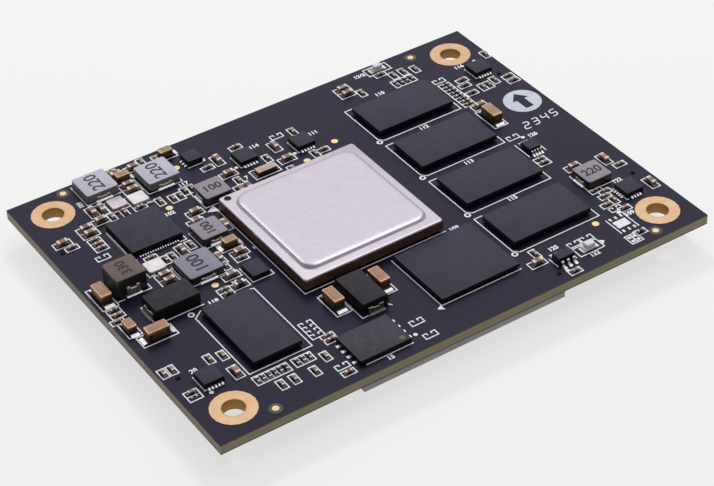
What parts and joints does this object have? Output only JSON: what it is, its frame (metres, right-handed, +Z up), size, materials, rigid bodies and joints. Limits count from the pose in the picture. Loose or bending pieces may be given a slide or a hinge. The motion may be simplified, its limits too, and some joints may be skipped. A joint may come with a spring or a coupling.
{
  "type": "system on module",
  "caption": "Circuit board module with a lidded processor, memory chips, coils and capacitors on top, gold-ringed corner holes, and board-to-board connectors underneath",
  "frame": {"origin": "centre of the footprint, on the plane of the connectors' mating faces, where the module stands", "axes": "+X along the board's long side, +Y along its short side, +Z up out of the side that carries the processor"},
  "size_m": [0.08, 0.06, 0.0079],
  "materials": {
    "board_laminate": "near-black solder mask on glass laminate",
    "gold_plating": "matte gold plating",
    "carrier_laminate": "dark brown package laminate",
    "nickel_lid": "satin nickel",
    "mould_compound": "matte dark mould compound",
    "coil_body": "pressed grey powder, matte",
    "tall_coil_body": "pressed brown-grey powder, matte",
    "polymer_body": "matte black resin",
    "brown_ceramic": "fired brown ceramic",
    "grey_ceramic": "fired grey ceramic",
    "crystal_metal": "bright plated lid",
    "lamp_base": "white laminate",
    "lamp_lens": "milky resin",
    "connector_housing": "light grey-beige plastic"
  },
  "bodies": {
    "root": {"buffer_chip": "mould_compound", "circuit_board": "board_laminate", "clock_generator": "mould_compound", "coil_1": "coil_body", "coil_2": "coil_body", "coil_3": "coil_body", "coil_4": "coil_body", "coil_5": "coil_body", "coil_6": "tall_coil_body", "coil_7": "coil_body", "connector_1": "connector_housing", "connector_2": "connector_housing", "connector_3": "connector_housing", "connector_4": "connector_housing", "crystal_1": "crystal_metal", "crystal_2": "crystal_metal", "crystal_3": "crystal_metal", "ferrite_bead": "grey_ceramic", "flash_chip": "mould_compound", "lamp_1_base": "lamp_base", "lamp_1_lens": "lamp_lens", "lamp_2_base": "lamp_base", "lamp_2_lens": "lamp_lens", "layer_capacitor_1": "brown_ceramic", "layer_capacitor_2": "brown_ceramic", "layer_capacitor_3": "brown_ceramic", "layer_capacitor_4": "brown_ceramic", "layer_capacitor_5": "brown_ceramic", "layer_capacitor_6": "brown_ceramic", "layer_capacitor_7": "brown_ceramic", "layer_capacitor_8": "brown_ceramic", "layer_capacitor_9": "brown_ceramic", "memory_chip_1": "mould_compound", "memory_chip_2": "mould_compound", "memory_chip_3": "mould_compound", "memory_chip_4": "mould_compound", "memory_chip_5": "mould_compound", "monitor_chip": "mould_compound", "mounting_ring_1": "gold_plating", "mounting_ring_2": "gold_plating", "mounting_ring_3": "gold_plating", "mounting_ring_4": "gold_plating", "polymer_capacitor_1": "polymer_body", "polymer_capacitor_2": "polymer_body", "power_controller": "mould_compound", "processor_carrier": "carrier_laminate", "processor_lid": "nickel_lid", "regulator_1": "mould_compound", "regulator_2": "mould_compound", "regulator_3": "mould_compound", "regulator_4": "mould_compound", "regulator_5": "mould_compound", "sensor_chip": "mould_compound", "storage_chip": "mould_compound"}
  },
  "joints": []
}
